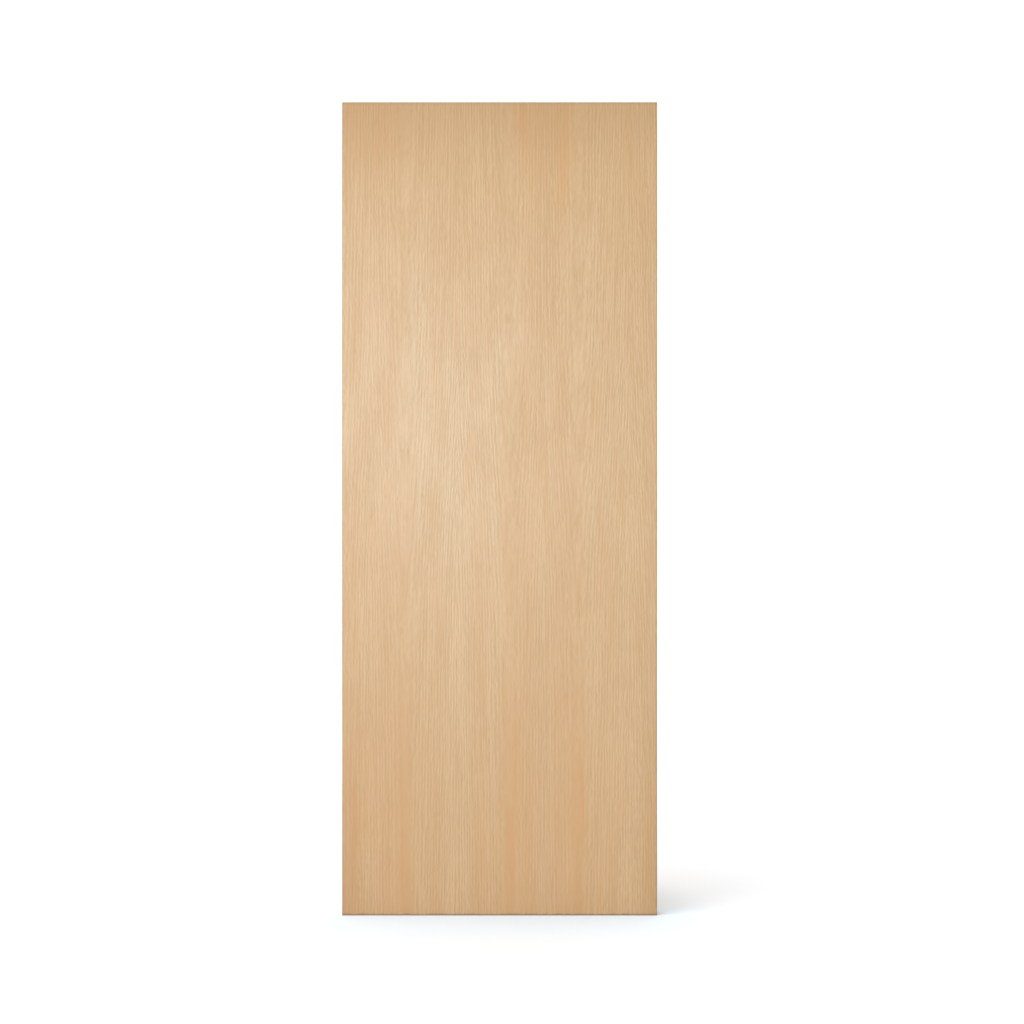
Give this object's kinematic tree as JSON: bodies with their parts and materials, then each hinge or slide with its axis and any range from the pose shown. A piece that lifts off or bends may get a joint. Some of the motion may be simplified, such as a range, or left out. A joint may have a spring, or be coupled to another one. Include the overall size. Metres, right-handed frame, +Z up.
{
  "type": "solid core flush door",
  "caption": "Flush door with a framed solid core, crossbands, solid edge bands and book-matched veneer faces, uncut for hardware.",
  "frame": {"origin": "middle of the bottom edge, at floor level", "axes": "+Z up the door, +X to the right of someone looking at the front face, front face looks towards -Y"},
  "size_m": [0.7874, 0.0444, 2.032],
  "materials": {
    "veneer": "satin clear-coated pale veneer",
    "edge_band": "sanded hardwood, matches the face",
    "stile": "sawn laminated strand lumber",
    "rail": "sawn softwood",
    "crossband": "high-density fibreboard",
    "core": "particleboard"
  },
  "bodies": {
    "root": {"core": "core", "top_rail": "rail", "bottom_rail": "rail", "left_stile": "stile", "right_stile": "stile", "left_edge_band": "edge_band", "right_edge_band": "edge_band", "front_crossband": "crossband", "back_crossband": "crossband", "front_veneer_leaf_1": "veneer", "front_veneer_leaf_2": "veneer", "front_veneer_leaf_3": "veneer", "front_veneer_leaf_4": "veneer", "front_veneer_leaf_5": "veneer", "back_veneer_leaf_1": "veneer", "back_veneer_leaf_2": "veneer", "back_veneer_leaf_3": "veneer", "back_veneer_leaf_4": "veneer", "back_veneer_leaf_5": "veneer"}
  },
  "joints": []
}
